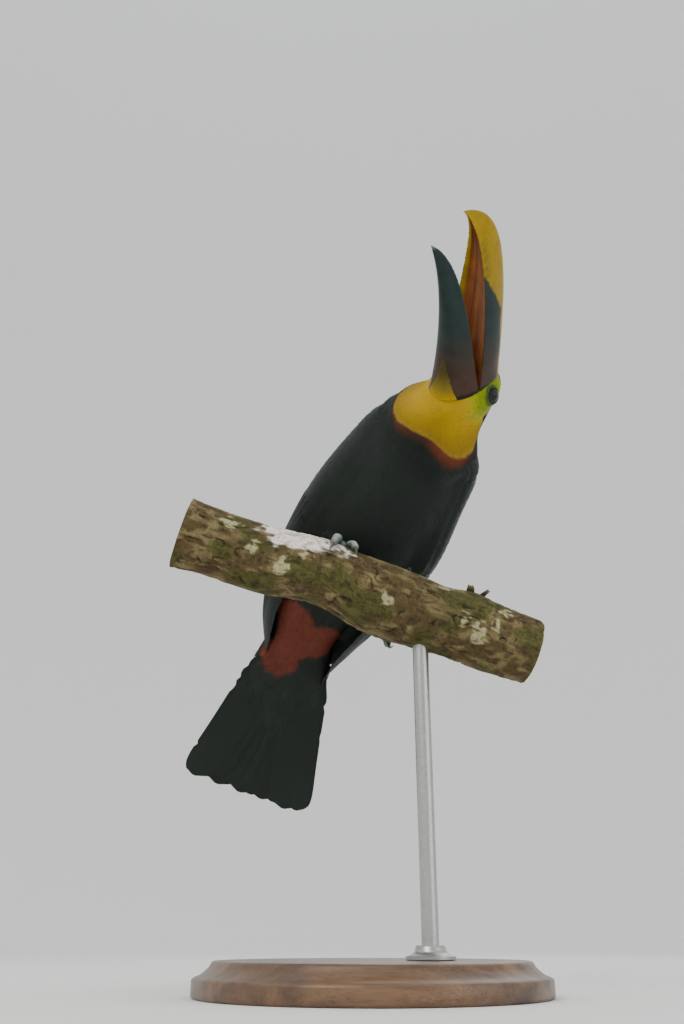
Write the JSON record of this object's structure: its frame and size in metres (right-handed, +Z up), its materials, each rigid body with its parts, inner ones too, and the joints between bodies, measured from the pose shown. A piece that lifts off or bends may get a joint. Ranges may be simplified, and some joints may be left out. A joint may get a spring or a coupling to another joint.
{
  "type": "perched toucan figure",
  "caption": "Toucan with its long curved bill open, perched across a short cut branch that a steel rod holds over a round wooden base.",
  "frame": {"origin": "centre of the stand base's underside", "axes": "+Z up; -Y the way the open bill points, away from the tail; +X the bird's left side"},
  "size_m": [0.3061, 0.4337, 0.4887],
  "materials": {
    "black_plumage": "soft, slightly glossy feathers",
    "yellow_plumage": "soft feathers",
    "bare_face": "bare skin round the eye",
    "upper_horn": "satin horn",
    "lower_horn": "satin horn",
    "mouth_flesh": "moist",
    "eye_gloss": "wet gloss",
    "leg_scale": "scaly skin",
    "bark": "rough bark",
    "stand_wood": "satin varnish",
    "stand_steel": "brushed"
  },
  "bodies": {
    "root": {"tail": "black_plumage", "trunk": "black_plumage", "neck": "yellow_plumage", "head": "bare_face", "upper_mandible": "upper_horn", "lower_mandible": "lower_horn", "tongue": "mouth_flesh", "eye_left": "eye_gloss", "eye_right": "eye_gloss", "wing_left": "black_plumage", "wing_right": "black_plumage", "thigh_left": "black_plumage", "thigh_right": "black_plumage", "tarsus_left": "leg_scale", "tarsus_right": "leg_scale", "foot_left": "leg_scale", "foot_right": "leg_scale", "perch": "bark", "stand_base": "stand_wood", "stand_collar": "stand_steel", "stand_rod": "stand_steel"}
  },
  "joints": []
}
